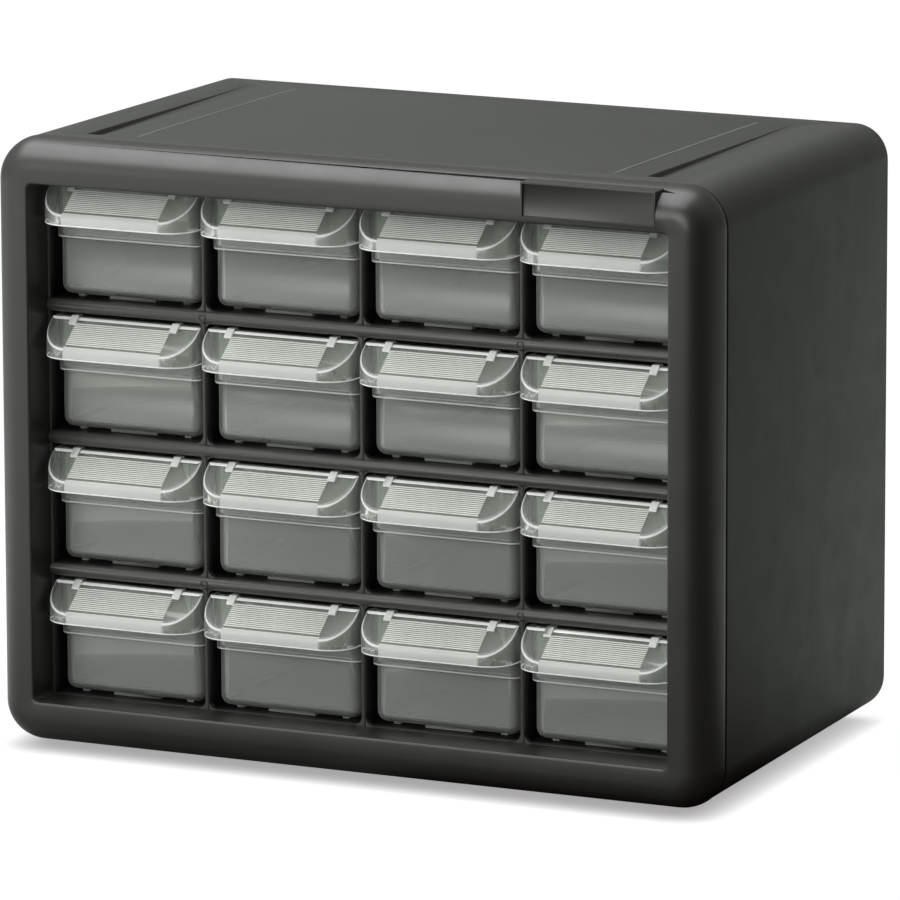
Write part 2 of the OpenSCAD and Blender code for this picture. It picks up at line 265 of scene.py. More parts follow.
def soften(piece, width, steps=2, angle=38, smooth=32):
    """Rounds the sharp edges a little and shades the rest smooth."""
    take(piece)
    made = piece.modifiers.new("soft edges", "BEVEL")
    made.width = width * MM
    made.segments = steps
    made.limit_method = "ANGLE"
    made.angle_limit = math.radians(angle)
    made.use_clamp_overlap = True
    bpy.ops.object.modifier_apply(modifier=made.name)
    bpy.ops.object.shade_smooth_by_angle(angle=math.radians(smooth))


def join(piece, others):
    take(piece)
    for other in others:
        other.select_set(True)
    bpy.ops.object.join()
    return piece


# ----------------------------------------------------------------- materials


def new_material(name):
    material = bpy.data.materials.new(name)
    material.use_nodes = True
    nodes = material.node_tree.nodes
    return material, nodes, material.node_tree.links, nodes["Principled BSDF"]


def noise(nodes, links, place, scale, detail, roughness=0.5):
    made = nodes.new("ShaderNodeTexNoise")
    made.inputs["Scale"].default_value = scale
    made.inputs["Detail"].default_value = detail
    made.inputs["Roughness"].default_value = roughness
    links.new(place, made.inputs["Vector"])
    return made.outputs["Fac"]


def spread(nodes, links, value, low, high):
    """Maps the middle of a noise to a range of values."""
    made = nodes.new("ShaderNodeMapRange")
    made.inputs["From Min"].default_value = 0.3
    made.inputs["From Max"].default_value = 0.7
    made.inputs["To Min"].default_value = low
    made.inputs["To Max"].default_value = high
    links.new(value, made.inputs["Value"])
    return made.outputs["Result"]


def shade_between(nodes, links, value, dark, light):
    """Mixes two colours, each written out or made by a node, by a value."""
    made = nodes.new("ShaderNodeMix")
    made.data_type = "RGBA"
    for socket, colour in ((made.inputs[6], dark), (made.inputs[7], light)):
        if isinstance(colour, tuple):
            socket.default_value = (*colour, 1)
        else:
            links.new(colour, socket)
    links.new(value, made.inputs["Factor"])
    return made.outputs[2]


def moulded_plastic(name, colour, roughness, grain_size, grain_height, painted_shade_behind=None):
    """Dark moulded plastic: fine matte grain, faint flow marks and rub marks. It
    may get a painted shade behind a given depth, a darker tone where no light reaches into the
    bays."""
    material, nodes, links, shader = new_material(name)
    place = nodes.new("ShaderNodeTexCoord").outputs["Object"]
    flow = noise(nodes, links, place, 14, 3)
    grain = noise(nodes, links, place, 1 / (grain_size * MM), 2, 0.6)
    rub = noise(nodes, links, place, 60, 6, 0.7)
    dark = tuple(0.93 * c for c in colour)
    light = tuple(1.07 * c for c in colour)
    mottle = spread(nodes, links, flow, 0, 1)
    tone = shade_between(nodes, links, mottle, dark, light)
    # Painted shade: the tone darkens behind the given depth, where the bays get no light.
    if painted_shade_behind is not None:
        axes = nodes.new("ShaderNodeSeparateXYZ")
        links.new(place, axes.inputs["Vector"])
        depth = nodes.new("ShaderNodeMapRange")
        depth.inputs["From Min"].default_value = painted_shade_behind * MM
        depth.inputs["From Max"].default_value = (painted_shade_behind + 3) * MM
        links.new(axes.outputs["Y"], depth.inputs["Value"])
        shaded_tone = tuple(0.2 * c for c in colour)
        tone = shade_between(nodes, links, depth.outputs["Result"], tone, shaded_tone)
    links.new(tone, shader.inputs["Base Color"])
    links.new(spread(nodes, links, rub, roughness - 0.05, roughness + 0.05),
              shader.inputs["Roughness"])
    bump = nodes.new("ShaderNodeBump")
    bump.inputs["Strength"].default_value = 0.35
    bump.inputs["Distance"].default_value = grain_height * MM
    links.new(grain, bump.inputs["Height"])
    links.new(bump.outputs["Normal"], shader.inputs["Normal"])
    shader.inputs["IOR"].default_value = 1.49
    return material


def mix_shaders(nodes, links, share, first, second):
    made = nodes.new("ShaderNodeMixShader")
    if isinstance(share, float):
        made.inputs["Fac"].default_value = share
    else:
        links.new(share, made.inputs["Fac"])
    links.new(first, made.inputs[1])
    links.new(second, made.inputs[2])
    return made.outputs["Shader"]


def clear_plastic(name, colour, haze, haze_edge_on, gloss_roughness, painted_edge_glow=0, skin=1.49):
    """Clear plastic: light passes, scatters in its haze and glints off its skin. A
    thin edge may also get a painted glow, an emission that stands in for the light that the wall
    leads to it."""
    material, nodes, links, shader = new_material(name)
    place = nodes.new("ShaderNodeTexCoord").outputs["Object"]
    cloud = spread(nodes, links, noise(nodes, links, place, 40, 3), 0, 1)
    ripple = noise(nodes, links, place, 700, 1)
    bump = nodes.new("ShaderNodeBump")
    bump.inputs["Strength"].default_value = 0.10
    bump.inputs["Distance"].default_value = 0.01 * MM
    links.new(ripple, bump.inputs["Height"])
    dark = tuple(0.93 * c for c in colour)
    tone = shade_between(nodes, links, cloud, dark, colour)
    links.new(tone, shader.inputs["Base Color"])
    shader.inputs["Roughness"].default_value = gloss_roughness
    shader.inputs["IOR"].default_value = 1.49
    # Painted glow: an emission that stands in for the light led along the wall to the edge.
    shader.inputs["Emission Color"].default_value = (1, 1, 1, 1)
    shader.inputs["Emission Strength"].default_value = painted_edge_glow
    links.new(bump.outputs["Normal"], shader.inputs["Normal"])
    glow = nodes.new("ShaderNodeBsdfTranslucent")
    links.new(tone, glow.inputs["Color"])
    hazy = mix_shaders(nodes, links, 0.35, shader.outputs["BSDF"], glow.outputs["BSDF"])
    passed = nodes.new("ShaderNodeBsdfTransparent")
    passed.inputs["Color"].default_value = (0.95, 0.97, 0.95, 1)
    glint = nodes.new("ShaderNodeBsdfGlossy")
    glint.inputs["Roughness"].default_value = gloss_roughness
    links.new(bump.outputs["Normal"], glint.inputs["Normal"])
    fresnel = nodes.new("ShaderNodeFresnel")
    fresnel.inputs["IOR"].default_value = skin
    clear = mix_shaders(nodes, links, fresnel.outputs["Fac"], passed.outputs["BSDF"],
                        glint.outputs["BSDF"])
    facing = nodes.new("ShaderNodeLayerWeight")
    facing.inputs["Blend"].default_value = 0.5
    hide = nodes.new("ShaderNodeMapRange")
    hide.interpolation_type = "SMOOTHSTEP"
    hide.inputs["From Min"].default_value = 0.65
    hide.inputs["From Max"].default_value = 1.0
    hide.inputs["To Min"].default_value = haze
    hide.inputs["To Max"].default_value = haze_edge_on
    links.new(facing.outputs["Facing"], hide.inputs["Value"])
    links.new(mix_shaders(nodes, links, hide.outputs["Result"], clear, hazy),
              nodes["Material Output"].inputs["Surface"])
    return material


def take_finishes(piece, finishes):
    """Gives a piece its list of finishes, which its faces then choose from."""
    for finish in finishes:
        piece.data.materials.append(finish)


def paint(piece, number, test):
    """Gives the faces that pass a test one of the piece's finishes."""
    for face in piece.data.polygons:
        if test(face.center / MM, face.normal):
            face.material_index = number


def dress(piece, body, node):
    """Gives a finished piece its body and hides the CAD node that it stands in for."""
    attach(piece, body)
    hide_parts(node)


# -------------------------------------------------------------- front bezel


def shoulder_curve(steps):
    """Steps (in from the side, forward) along the bezel's shoulder: two arcs."""
    shoulder_w, depth, front_r = 10.3, BEZEL_D, 8.0
    side_r = (shoulder_w**2 + (depth - front_r)**2 - front_r**2) / (2 * (shoulder_w - front_r))
    meet = math.atan2(depth - front_r, side_r - shoulder_w)
    points = []
    for i in range(steps + 1):
        turn = math.pi / 2 * i / steps
        if turn < meet:
            points.append((side_r * (1 - math.cos(turn)), side_r * math.sin(turn)))
        else:
            points.append((shoulder_w - front_r * math.cos(turn),
                           depth - front_r + front_r * math.sin(turn)))
    return [(b[0] - a[0], b[1] - a[1]) for a, b in zip(points, points[1:])]


def make_bezel():
    """The pillow-shaped frame round the opening, drawn forward from the joint."""
    bezel = rounded_face("front_bezel_moulding", CABINET_W, CABINET_H, JOINT_Y, MIDDLE_Z, CORNER_R)
    pick_faces(bezel, lambda middle, normal: True)
    for inwards, forward in shoulder_curve(16):
        bpy.ops.mesh.inset(thickness=inwards * MM, depth=forward * MM, use_even_offset=True)
    bpy.ops.mesh.delete(type="ONLY_FACE")
    close_edit()
    opening = rounded_face("opening", OPENING_W, OPENING_H, FRONT_Y, OPENING_MIDDLE_Z,
                           OPENING_CORNER_R)
    pick_faces(opening, lambda middle, normal: True)
    bpy.ops.mesh.delete(type="ONLY_FACE")
    join(bezel, [opening])
    pick_edges(bezel, lambda a, b: near(a.y, FRONT_Y) and near(b.y, FRONT_Y))
    bpy.ops.mesh.fill(use_beauty=True)
    close_edit()

    def on_opening(a, b):
        return all(near(p.y, FRONT_Y) and abs(p.x) < OPENING_W / 2 + 0.05
                   and abs(p.z - OPENING_MIDDLE_Z) < OPENING_H / 2 + 0.05
                   for p in (a, b))

    pick_edges(bezel, on_opening)
    bpy.ops.mesh.extrude_region_move(
        TRANSFORM_OT_translate={"value": (0, (DIVIDER_FRONT_Y - 0.1 - FRONT_Y) * MM, 0)})
    close_edit()
    pick_edges(bezel, on_opening)
    bevel_picked(0.9, 4)
    face_outwards(bezel)
    thicken(bezel, BEZEL_WALL)
    add_nameplate_pad(bezel)
    soften(bezel, 0.22)
    return bezel


def add_nameplate_pad(bezel):
    """A plain pad level with the flat front, with a sunk panel inside its rim."""
    pad = block("pad", (PAD_LEFT, FRONT_Y, PAD_LOW), (PAD_RIGHT, FRONT_Y + 7.5, PAD_HIGH))
    combine(bezel, pad, "UNION", folded=True)
    panel = block("panel", (PAD_LEFT + PAD_RIM, FRONT_Y - 1, PAD_LOW + PAD_RIM),
                  (PAD_RIGHT - PAD_RIM, FRONT_Y + PANEL_SINK, PAD_HIGH - PAD_RIM))
    combine(bezel, panel, "DIFFERENCE", folded=True)


def on_pad_edge(middle, normal):
    """The edges round the pad's sunk panel, which get a painted highlight."""
    around = (PAD_LEFT - 0.3 < middle.x < PAD_RIGHT + 0.3
              and PAD_LOW - 0.3 < middle.z < PAD_HIGH + 0.3)
    inside = (PAD_LEFT + PAD_RIM + 0.3 < middle.x < PAD_RIGHT - PAD_RIM - 0.3
              and PAD_LOW + PAD_RIM + 0.3 < middle.z < PAD_HIGH - PAD_RIM - 0.3)
    return around and not inside and middle.y < FRONT_Y + 0.24 and normal.y > -0.995


# -------------------------------------------------------------- outer shell


def make_shell(finishes):
    """The drafted shell, drawn back from the joint, with its grooves and runners."""
    shell = rounded_face("outer_shell_moulding", CABINET_W - 2 * SHELL_STEP,
                         CABINET_H - 2 * SHELL_STEP, SHELL_FRONT_Y, MIDDLE_Z,
                         CORNER_R - SHELL_STEP, faces_back=True)
    pick_faces(shell, lambda middle, normal: True)
    bpy.ops.mesh.inset(thickness=SHELL_DRAFT * MM, depth=(BACK_Y - SHELL_FRONT_Y) * MM,
                       use_even_offset=True)
    close_edit()
    pick_edges(shell, lambda a, b: near(a.y, BACK_Y) and near(b.y, BACK_Y))
    bevel_picked(1.2, 4)
    face_outwards(shell)
    thicken(shell, SHELL_WALL)
    groove_z = TOP_Z - GROOVE_D
    for side in (-1, 1):
        x = side * GROOVE_X
        combine(shell, make_pan(x, groove_z), "UNION", folded=True)
        groove = block("groove", (x - GROOVE_W / 2, GROOVE_FRONT_Y, groove_z),
                       (x + GROOVE_W / 2, BACK_Y + 5, TOP_Z + 5))
        combine(shell, groove, "DIFFERENCE", folded=True)
        runner = block("runner", (x - RUNNER_HALF_W, GROOVE_FRONT_Y + 0.3, 0),
                       (x + RUNNER_HALF_W, BACK_WALL_Y, BASE_Z + 3.4))
        combine(shell, runner, "UNION", folded=True)
        for cutter in make_keyhole(side * KEYHOLE_X):
            combine(shell, cutter, "DIFFERENCE", folded=True)
    soften(shell, 0.3)
    for face in shell.data.polygons:
        if face.normal.y > 0.999:
            face.use_smooth = False
    take_finishes(shell, finishes)
    return join(shell, [make_tongue(finishes), make_crease(-1, finishes),
                        make_crease(1, finishes)])


def make_keyhole(x):
    """The three solids that cut one keyhole: its head hole, slot and neck."""
    front, back = BACK_Y - 6, BACK_Y + 6
    return (rod("keyhole", (x, front, KEYHOLE_Z), (x, back, KEYHOLE_Z), KEYHOLE_R, 48),
            rod("slot", (x, front, KEY_SLOT_Z), (x, back, KEY_SLOT_Z), KEY_SLOT_R),
            block("neck", (x - KEY_SLOT_R, front, KEYHOLE_Z), (x + KEY_SLOT_R, back, KEY_SLOT_Z)))


def shell_top(y):
    """The height of the shell's drafted top, so far back."""
    return (TOP_Z - SHELL_STEP
            - SHELL_DRAFT * (y - SHELL_FRONT_Y) / (BACK_Y - SHELL_FRONT_Y))


def lift_top(piece, y, lift):
    """Puts a block's top at one end level with the shell's top, and lifts it."""
    take(piece)
    highest = max(point.co.z for point in piece.data.vertices)
    open_for_edit(piece, "VERT",
                  lambda point: near(point.co.y / MM, y) and near(point.co.z, highest, 1 * MM))
    bpy.ops.transform.translate(value=(0, 0, (shell_top(y) + lift) * MM - highest))
    close_edit()


def make_pan(x, groove_z):
    """The wall under a stacking groove, its top within the wall of the shell."""
    front, back = GROOVE_FRONT_Y - SHELL_WALL, BACK_WALL_Y + 0.5
    pan = block("pan", (x - 5.2, front, groove_z - SHELL_WALL), (x + 5.2, back, TOP_Z))
    lift_top(pan, back, -1.1)
    lift_top(pan, front, -1.1)
    return pan


def make_tongue(finishes):
    """The rim that reaches into the bezel, seen dark at the bottom of the joint."""
    tongue = rounded_face("tongue", CABINET_W - 5.2, CABINET_H - 5.2, SHELL_FRONT_Y - 4.6,
                          MIDDLE_Z, CORNER_R - 2.6)
    pick_faces(tongue, lambda middle, normal: True)
    bpy.ops.mesh.extrude_region_move(TRANSFORM_OT_translate={"value": (0, 8 * MM, 0)})
    close_edit()
    pick_faces(tongue, lambda middle, normal: abs(normal.y) > 0.9)
    bpy.ops.mesh.delete(type="ONLY_FACE")
    close_edit()
    face_outwards(tongue)
    thicken(tongue, 1.6)
    soften(tongue, 0.2)
    take_finishes(tongue, finishes)
    return tongue


def make_crease(side, finishes):
    """A low bead beside each groove, which sinks into the top at both ends. Its upper faces carry
    a painted highlight.
    """
    x, width, height, ramp = side * 88.4, 1.3, 0.2, 20
    front, back = SHELL_FRONT_Y + 1.5, BACK_Y - 8
    crease = block("crease", (x - width / 2, front + ramp, TOP_Z - 5),
                   (x + width / 2, back - ramp, TOP_Z))
    for y, step in ((front + ramp, -ramp), (back - ramp, ramp)):
        pick_faces(crease, lambda middle, normal: near(middle.y, y))
        bpy.ops.mesh.extrude_region_move(TRANSFORM_OT_translate={"value": (0, step * MM, 0)})
        close_edit()
    for y, lift in ((back, -0.1), (back - ramp, height),
                    (front + ramp, height), (front, -0.1)):
        lift_top(crease, y, lift)
    soften(crease, 0.35, steps=3)
    take_finishes(crease, finishes)
    # Painted highlight: the bead's upper faces take the second, lighter finish.
    paint(crease, 1, lambda middle, normal: normal.z > 0.3)
    return crease


# ----------------------------------------------------------------- bin grid


def make_shelf(row):
    """A shelf with a rolled rail along its front."""
    half = GUIDE_X + 0.7
    top = shelf_top(row)
    shelf = block(f"shelf_{row}_plate", (-half, RAIL_Y, top - SHELF_T), (half, BACK_WALL_Y, top))
    rail = rod("rail", (-half, RAIL_Y, top - RAIL_H / 2), (half, RAIL_Y, top - RAIL_H / 2),
               RAIL_H / 2, 48)
    combine(shelf, rail, "UNION")
    for gap in range(1, COLUMNS):
        x = column_x(gap) + PITCH_X / 2
        lap = block("lap", (x - 0.9, LAP_Y, top - 8), (x + 0.9, BACK_Y, top + 8))
        combine(shelf, lap, "DIFFERENCE")
    soften(shelf, 0.15)
    if row != 2:
        marks = [make_ring_mark(column_x(gap) + PITCH_X / 2, top - RAIL_H / 2) for gap in (1, 3)]
        join(shelf, marks)
    return shelf


def make_ring_mark(x, z):
    """The small moulded ring on the front of a rail, over a divider."""
    bpy.ops.object.select_all(action="DESELECT")
    bpy.ops.mesh.primitive_torus_add(
        major_radius=1.2 * MM, minor_radius=0.28 * MM, major_segments=28, minor_segments=10,
        location=(x * MM, (RAIL_Y - RAIL_H / 2 + 0.02) * MM, z * MM), rotation=(math.pi / 2, 0, 0))
    ring = settle(bpy.context.object, "ring_mark")
    bpy.ops.object.shade_smooth()
    return ring


def make_divider(gap, name):
    """An upright divider with a round nose, slotted for the shelves."""
    x = column_x(gap) + PITCH_X / 2
    half = DIVIDER_T / 2
    low, high = OPENING_LOW - 0.7, CEILING_Z + 0.7
    divider = block(f"{name}_plate", (x - half, DIVIDER_FRONT_Y, low),
                    (x + half, BACK_WALL_Y, high))
    pick_edges(divider, lambda a, b: near(a.y, DIVIDER_FRONT_Y) and near(b.y, DIVIDER_FRONT_Y)
               and abs(a.z - b.z) > 1)
    bevel_picked(half * 0.98, 5)
    for row in range(1, ROWS):
        top = shelf_top(row)
        lap = block("lap", (x - 2, DIVIDER_FRONT_Y - 5, top - SHELF_T - 0.1),
                    (x + 2, LAP_Y, top + 0.1))
        combine(divider, lap, "DIFFERENCE")
        combine(divider, make_bite(x, 2, top), "DIFFERENCE")
    flares = []
    for row in range(0, ROWS + 1):
        top = shelf_top(row)
        for side in (-1, 1):
            if row > 0:
                flares.append(make_flare(x + side * half * 0.9, top, side, 1))
            if row < ROWS:
                flares.append(make_flare(x + side * half * 0.9, top - RAIL_H, side, -1))
    join(divider, flares)
    take(divider)
    bpy.ops.object.shade_smooth_by_angle(angle=math.radians(32))
    return divider


def make_bite(x, half, top):
    """The round hole that a rail needs through a plate, with a little play."""
    z = top - RAIL_H / 2
    return rod("bite", (x - half, RAIL_Y, z), (x + half, RAIL_Y, z), RAIL_H / 2 + 0.1, 48)


def make_flare(x, z, side, up):
    """The small hollow-curved web where a divider meets a rail."""
    reach = 2.6 if up > 0 else 1.6
    xs = sorted((x, x + side * reach))
    zs = sorted((z - up * 0.6, z + up * reach))
    flare = block("flare", (xs[0], DIVIDER_FRONT_Y + 0.5, zs[0]),
                  (xs[1], DIVIDER_FRONT_Y + 3, zs[1]))
    outer_x, outer_z = x + side * reach, z + up * reach
    pick_edges(flare, lambda a, b: all(near(p.x, outer_x) and near(p.z, outer_z) for p in (a, b)))
    bevel_picked(reach * 0.97, 5, profile=0.1)
    return flare


def make_side_guide(side, name):
    """The side wall of an outer column, with housings for the shelves."""
    inner, outer = sorted((side * GUIDE_X, side * (GUIDE_X + LINER_T)))
    guide = block(f"{name}_plate", (inner, DIVIDER_FRONT_Y, OPENING_LOW - LINER_T),
                  (outer, BACK_WALL_Y, CEILING_Z + LINER_T))
    for row in range(1, ROWS):
        top = shelf_top(row)
        housing = block("housing",
                        (side * GUIDE_X - HOUSING_D, DIVIDER_FRONT_Y - 1, top - SHELF_T - 0.1),
                        (side * GUIDE_X + HOUSING_D, BACK_WALL_Y + 1, top + 0.1))
        combine(guide, housing, "DIFFERENCE")
        combine(guide, make_bite(side * GUIDE_X, HOUSING_D, top), "DIFFERENCE")
    soften(guide, 0.15)
    return guide


def make_liner(name, low, face_z):
    """The floor or the ceiling of the bays, with housings for the dividers."""
    liner = block(f"{name}_plate", (-GUIDE_X, DIVIDER_FRONT_Y, low),
                  (GUIDE_X, BACK_WALL_Y, low + LINER_T))
    for gap in range(1, COLUMNS):
        x = column_x(gap) + PITCH_X / 2
        housing = block("housing", (x - 0.9, DIVIDER_FRONT_Y - 1, face_z - HOUSING_D),
                        (x + 0.9, BACK_WALL_Y + 1, face_z + HOUSING_D))
        combine(liner, housing, "DIFFERENCE")
    soften(liner, 0.15)
    return liner


# --------------------------------------------------------------------- bins


def tub_form(inset, top):
    """The form of a bin's tub, drawn in by the inset, with a wider band over it."""
    half = TUB_W / 2 - inset
    front, back = TUB_FRONT_Y + inset, BIN_BACK_Y - inset
    ledge = LEDGE_Z + inset
    tub = block("tub", (-half, front, inset), (half, back, ledge))
    pick_edges(tub, lambda a, b: abs(a.z - b.z) > 1)
    bevel_picked(4.0 - inset, 7)
    pick_edges(tub, lambda a, b: near(a.z, inset) and near(b.z, inset))
    bevel_picked(3.7 - inset, 6)
    width, depth = 2 * half, back - front
    pick_faces(tub, lambda middle, normal: near(middle.z, ledge))
    for outwards, up in (*LEDGE_STEPS, (0, top - ledge - LEDGE_H)):
        bpy.ops.mesh.extrude_region_move(TRANSFORM_OT_translate={"value": (0, 0, up * MM)})
        if outwards:
            bpy.ops.transform.resize(
                value=((width + 2 * outwards) / width, (depth + outwards) / depth, 1),
                center_override=(0, back * MM, 0))
            width, depth = width + 2 * outwards, depth + outwards
    close_edit()
    return tub


def bisect_all(piece, place, way, **how):
    """Cuts a whole piece along a plane."""
    take(piece)
    bpy.ops.object.mode_set(mode="EDIT")
    bpy.ops.mesh.select_all(action="SELECT")
    bpy.ops.mesh.bisect(plane_co=place, plane_no=way, **how)
    close_edit()


def hood_form(inset, low, back):
    """The form of the finger hood: a block with round corners, cut to its slope."""
    half = HOOD_W / 2 - inset
    hood = block("hood", (-half, LIP_Y + inset, low), (half, back, BIN_H - inset))
    pick_edges(hood, lambda a, b: abs(a.z - b.z) > 1
               and near(a.y, LIP_Y + inset) and near(b.y, LIP_Y + inset))
    bevel_picked(HOOD_CORNER_R - inset, 12)
    start = SLOPE_START - SLOPE_OUT * inset
    bisect_all(hood, start * MM, SLOPE_OUT, use_fill=True, clear_outer=True)
    if inset == 0:
        # Cuts off the strip under the lip that gets a painted highlight.
        bisect_all(hood, (0, 0, (low + SKIRT_LINE) * MM), (0, 0, 1))
        pick_edges(hood, lambda a, b: near((a - start).dot(SLOPE_OUT), 0)
                   and near((b - start).dot(SLOPE_OUT), 0))
        bevel_picked(1.2, 3)
    face_outwards(hood)
    return hood


def make_label_tab(x):
    """A tab over the land and the top of the slope, which keeps a label in."""
    tab = block("label_tab", (x - 1.35, LAND_Y, BIN_H - 0.5),
                (x + 1.35, TUB_FRONT_Y + 1.2, BIN_H + 0.8))
    pick_faces(tab, lambda middle, normal: normal.y < -0.9)
    bpy.ops.mesh.extrude_region_move(TRANSFORM_OT_translate={"value": SLOPE_DOWN * 3.5 * MM})
    close_edit()
    return tab


def make_label_ribs():
    """Fine ribs across the slope, under the label."""
    tilt = math.atan2(SLOPE_DOWN.z, -SLOPE_DOWN.y)
    ribs = []
    for i in range(12):
        middle = SLOPE_START + SLOPE_DOWN * (2.9 + 0.86 * i) + SLOPE_OUT * 0.02
        bpy.ops.object.select_all(action="DESELECT")
        bpy.ops.mesh.primitive_cube_add(size=1, location=middle * MM, rotation=(-tilt, 0, 0))
        rib = bpy.context.object
        rib.scale = Vector((36.0, 0.42, 0.30)) * MM
        settle(rib, "label_rib")
        pick_edges(rib, lambda a, b: abs(a.x - b.x) > 1
                   and (a - middle).dot(SLOPE_OUT) > 0 and (b - middle).dot(SLOPE_OUT) > 0)
        bevel_picked(0.13, 2)
        ribs.append(rib)
    return join(ribs[0], ribs[1:])


def make_bin(finishes):
    """One bin, standing on its runners in the middle column."""
    hood = hood_form(0, LIP_LOW_Z, TUB_FRONT_Y + 0.6)
    combine(hood, hood_form(BIN_WALL, LIP_LOW_Z - 2, TUB_FRONT_Y + 2), "DIFFERENCE")
    made = tub_form(0, BIN_H)
    combine(made, hood, "UNION")
    half = HOOD_W / 2
    for side in (-1, 1):
        xs = sorted((side * half, side * (BAND_W / 2 - 0.3)))
        rim = block("rim", (xs[0], TUB_FRONT_Y + 0.3, BIN_H - 1.2), (xs[1], BIN_BACK_Y, BIN_H))
        combine(made, rim, "UNION")
        foot = block("foot", (side * 20 - 1.2, TUB_FRONT_Y + 4, -FOOT_H),
                     (side * 20 + 1.2, BIN_BACK_Y - 4, 0.6))
        combine(made, foot, "UNION")
        combine(made, make_label_tab(side * 19.2), "UNION")
    pad = block("pad", (-8.75, TUB_FRONT_Y + 2.9, -FOOT_H), (8.75, TUB_FRONT_Y + 16.9, 0.6))
    combine(made, pad, "UNION")
    stop_top = PITCH_Z - RAIL_H - FOOT_PLAY - FOOT_H + 1.6
    stop = block("stop", (-7, BIN_BACK_Y - 1.2, LEDGE_Z), (7, BIN_BACK_Y, stop_top))
    combine(made, stop, "UNION")
    combine(made, tub_form(BIN_WALL, BIN_H + 6), "DIFFERENCE")
    pick_edges(made, lambda a, b: near(a.z, LIP_LOW_Z) and near(b.z, LIP_LOW_Z)
               and on_hood_outline(a) and on_hood_outline(b))
    bevel_picked(0.28, 3)
    soften(made, 0.16, steps=2, angle=40)
    take_finishes(made, finishes)
    paint(made, HOOD_FINISH, lambda middle, normal: middle.y < TUB_FRONT_Y - 0.2)
    paint(made, FRONT_FINISH, lambda middle, normal: abs(normal.y) > 0.97 and middle.z < BIN_H - 1
          and (near(middle.y, TUB_FRONT_Y, 2.4)))
    paint(made, SLOPE_FINISH, lambda middle, normal: abs(normal.dot(SLOPE_OUT)) > 0.99)
    # Painted light: the lip takes a paler, hazier finish that stands in for the light the hood
    # leads into it.
    paint(made, LIP_FINISH, on_lip)
    paint(made, RIB_FINISH, lambda middle, normal: (middle - SLOPE_START).dot(SLOPE_OUT) > 0.1
          and middle.y < TUB_FRONT_Y and middle.z > LIP_TOP_Z)
    # Painted highlight: the pale edges take a lighter, hazier finish.
    paint(made, LEDGE_FINISH, gets_pale_painted_highlight)
    # Painted highlight: the bright edges take the lightest finish, with a painted glow.
    paint(made, EDGE_FINISH, gets_painted_highlight)
    ribs = make_label_ribs()
    take_finishes(ribs, finishes)
    paint(ribs, RIB_FINISH, lambda middle, normal: True)
    return join(made, [ribs])


def on_hood_outline(point, slack=0.05):
    """Whether a point is on the hood's outer side, seen from above."""
    half, r = HOOD_W / 2, HOOD_CORNER_R
    x, y = abs(point.x), point.y - LIP_Y
    if x < half - r:
        return near(y, 0, slack)
    if y > r:
        return near(x, half, slack) and y < TUB_FRONT_Y - LIP_Y
    return near(math.hypot(x - half + r, y - r), r, slack)


def on_lip(middle, normal):
    """The flat front of the hood and the round edge over it."""
    flat = abs(normal.y) > 0.99 and near(middle.y, LIP_Y + 0.6, 0.65)
    edge = near(middle.z, LIP_TOP_Z, 0.9) and middle.y < LIP_Y + 0.8 and 0.1 < normal.z < 0.79
    return (flat or edge) and abs(middle.x) < HOOD_W / 2 - HOOD_CORNER_R


def gets_pale_painted_highlight(middle, normal):
    """The edges that get a pale painted highlight: round the tub at the ledge and beside the
    slope.
    """
    ledge = LEDGE_Z + 0.62 < middle.z < LEDGE_Z + 1.04 and outside_tub(middle)
    beside_slope = (near((middle - SLOPE_START).dot(SLOPE_OUT), -0.25, 0.3) and middle.y < LAND_Y
                    and abs(middle.x) > HOOD_W / 2 - HOOD_CORNER_R + 0.3
                    and 0.6 < normal.dot(SLOPE_OUT) < 0.92 and on_hood_outline(middle, 0.9))
    return ledge or beside_slope


def gets_painted_highlight(middle, normal):
    """The edges that get a painted highlight: under the lip and over the slope."""
    under_lip = middle.z < LIP_LOW_Z + SKIRT_LINE + 0.02 and on_hood_outline(middle, 0.3)
    over_slope = near(middle.y, LAND_Y, 1.0) and middle.z > BIN_H - 0.6 and 0.81 < normal.z < 0.998
    return under_lip or over_slope


def outside_tub(point):
    return point.y < TUB_FRONT_Y + 0.3 or abs(point.x) > TUB_W / 2 - 0.3


def place_bins(made):
    """Copies the bin into every bay, each copy with its own mesh."""
    for row in range(1, ROWS + 1):
        for column in range(1, COLUMNS + 1):
            node = f"drawer_r{row}c{column}"
            copy = bpy.data.objects.new(f"bin_r{row}c{column}_moulding", made.data.copy())
            bpy.context.collection.objects.link(copy)
            place = Vector((column_x(column), 0, shelf_top(row) + FOOT_PLAY + FOOT_H)) * MM
            copy.data.transform(Matrix.Translation(place))
            dress(copy, f"bin_r{row}c{column}", node)
    bpy.data.objects.remove(made, do_unlink=True)


# -------------------------------------------------------------------- studio


def set_camera():
    """The camera stands where the photograph's camera stood."""
    data = bpy.data.cameras.new("camera")
    data.sensor_width = 36
    data.lens = 340.36
    data.clip_end = 50
    camera = bpy.data.objects.new("camera", data)
    camera.matrix_world = (
        Matrix.Translation((1.208565, -2.598061, 0.695888))
        @ Matrix.Rotation(math.radians(24.91), 4, "Z")
        @ Matrix.Rotation(math.radians(90 - 11.74), 4, "X")
        @ Matrix.Rotation(math.radians(-0.17), 4, "Z"))
    bpy.context.collection.objects.link(camera)
    bpy.context.scene.camera = camera


def add_softbox(name, place, aim, size, watts):
    data = bpy.data.lights.new(name, "AREA")
    data.shape = "RECTANGLE"
    data.size, data.size_y = size
    data.energy = watts
    lamp = bpy.data.objects.new(name, data)
    lamp.location = place
    lamp.rotation_euler = (Vector(aim) - Vector(place)).to_track_quat("-Z", "Y").to_euler()
    bpy.context.collection.objects.link(lamp)


DARK_SIDE = (math.sin(math.radians(52)), -math.cos(math.radians(52)), 0)


